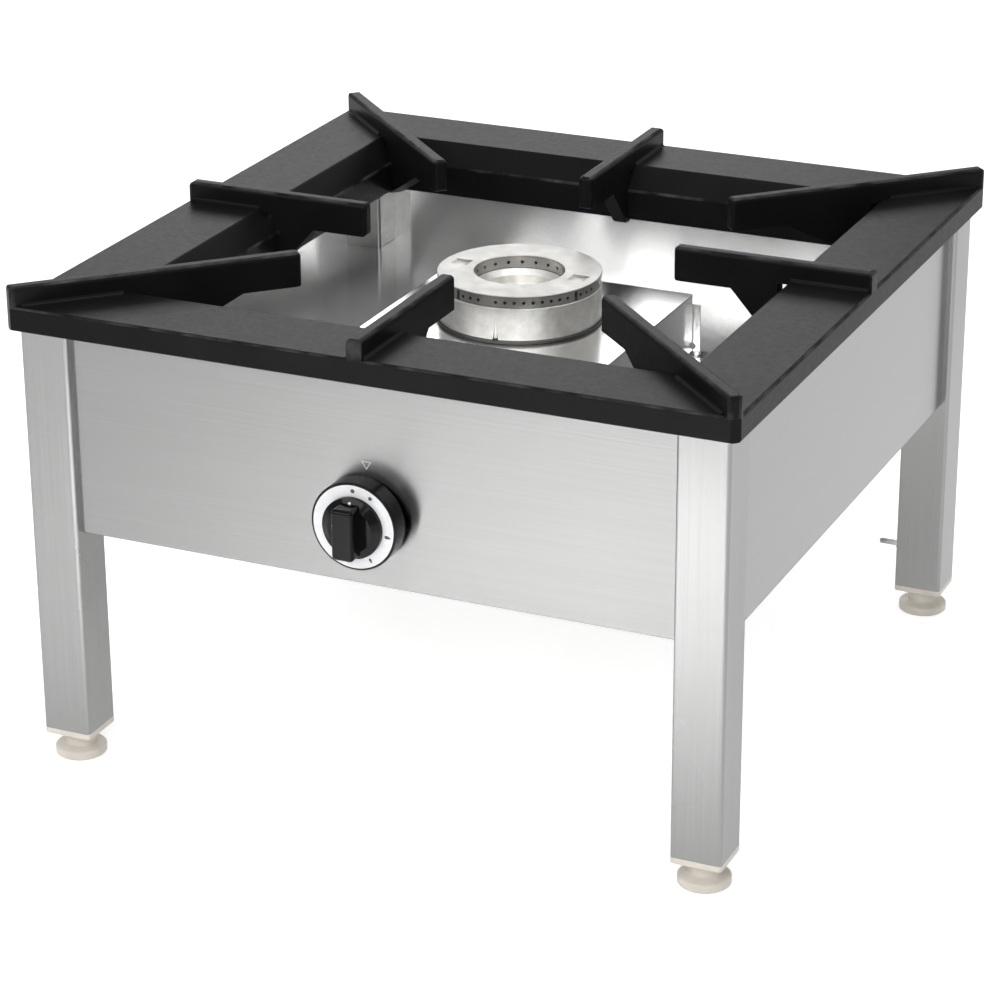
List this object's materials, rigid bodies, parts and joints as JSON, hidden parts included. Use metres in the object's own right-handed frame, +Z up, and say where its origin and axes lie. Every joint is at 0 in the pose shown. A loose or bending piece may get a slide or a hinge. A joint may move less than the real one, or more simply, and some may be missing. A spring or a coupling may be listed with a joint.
{
  "type": "stock pot range",
  "caption": "Low square gas range with one round burner, a cast pan support, stainless legs and panels, a front knob and screw feet.",
  "frame": {"origin": "on the floor under the middle of the pan support", "axes": "+X to the right side, +Y to the rear, +Z up; the knob faces -Y"},
  "size_m": [0.58, 0.633, 0.39],
  "materials": {
    "cast_iron": "black enamelled casting, satin, fine cast grain",
    "stainless": "brushed",
    "polished_steel": "bright polished sheet",
    "ivory_plastic": "moulded, warm ivory",
    "zinc_steel": "bright zinc plating",
    "burner_metal": "nickel-plated casting, satin and sparkling",
    "alloy": "as cast",
    "brass": "machined",
    "copper": "drawn copper tube",
    "black_gloss": "black, glossy",
    "dial_white": "white printed ring"
  },
  "bodies": {
    "chassis": {"leg_front_left": "stainless", "leg_front_right": "stainless", "leg_rear_right": "stainless", "leg_rear_left": "stainless", "panel_front": "stainless", "panel_right": "stainless", "panel_rear": "stainless", "panel_left": "stainless", "deck_plate": "polished_steel", "burner_box": "polished_steel", "leg_insert_front_left": "ivory_plastic", "leg_insert_front_right": "ivory_plastic", "leg_insert_rear_right": "ivory_plastic", "leg_insert_rear_left": "ivory_plastic", "burner_box_screws": "zinc_steel", "burner_screws": "zinc_steel", "valve_bracket": "zinc_steel", "valve_screws": "zinc_steel", "pilot_bracket": "zinc_steel", "bonding_stud": "zinc_steel", "bonding_nuts": "zinc_steel", "burner_body": "burner_metal", "burner_bowl": "burner_metal", "mixing_tube": "alloy", "injector_holder": "brass", "injector": "brass", "valve_body": "brass", "inlet_connector": "brass", "inlet_locknut": "brass", "compression_nuts": "brass", "pilot_burner": "brass", "pilot_tube": "copper", "burner_feed_pipe": "copper", "thermocouple_lead": "copper", "inlet_pipe": "zinc_steel", "thermocouple": "zinc_steel"},
    "grate": {"grate": "cast_iron"},
    "burner_cap": {"burner_cap": "burner_metal"},
    "air_shutter": {"air_shutter": "zinc_steel", "air_shutter_screw": "zinc_steel"},
    "tap_cone": {"tap_cone": "brass", "spindle_spring": "zinc_steel"},
    "knob": {"control_knob": "black_gloss", "dial_ring": "dial_white", "valve_spindle": "zinc_steel"},
    "foot_front_left": {"foot_pad_front_left": "ivory_plastic", "foot_stud_front_left": "zinc_steel"},
    "foot_front_right": {"foot_pad_front_right": "ivory_plastic", "foot_stud_front_right": "zinc_steel"},
    "foot_rear_right": {"foot_pad_rear_right": "ivory_plastic", "foot_stud_rear_right": "zinc_steel"},
    "foot_rear_left": {"foot_pad_rear_left": "ivory_plastic", "foot_stud_rear_left": "zinc_steel"}
  },
  "joints": [
    {"name": "grate_lift", "type": "slide", "parent": "chassis", "child": "grate", "axis": [0, 0, 1], "range_m": [0, 0.1]},
    {"name": "burner_cap_lift", "type": "slide", "parent": "chassis", "child": "burner_cap", "axis": [0, 0, 1], "range_m": [0, 0.1]},
    {"name": "air_shutter_turn", "type": "hinge", "parent": "chassis", "child": "air_shutter", "pos_m": [0, 0, 0.222], "axis": [0, 0, 1], "range_deg": [-40, 40]},
    {"name": "knob_turn", "type": "hinge", "parent": "chassis", "child": "tap_cone", "pos_m": [0, -0.275, 0.249], "axis": [0, -1, 0], "range_deg": [0, 150]},
    {"name": "knob_push", "type": "slide", "parent": "tap_cone", "child": "knob", "axis": [0, 1, 0], "range_m": [0, 0.004], "stiffness_N_per_m": 600, "springref_m": -0.004},
    {"name": "foot_front_left_height", "type": "slide", "parent": "chassis", "child": "foot_front_left", "axis": [0, 0, -1], "range_m": [0, 0.02]},
    {"name": "foot_front_right_height", "type": "slide", "parent": "chassis", "child": "foot_front_right", "axis": [0, 0, -1], "range_m": [0, 0.02]},
    {"name": "foot_rear_right_height", "type": "slide", "parent": "chassis", "child": "foot_rear_right", "axis": [0, 0, -1], "range_m": [0, 0.02]},
    {"name": "foot_rear_left_height", "type": "slide", "parent": "chassis", "child": "foot_rear_left", "axis": [0, 0, -1], "range_m": [0, 0.02]}
  ]
}
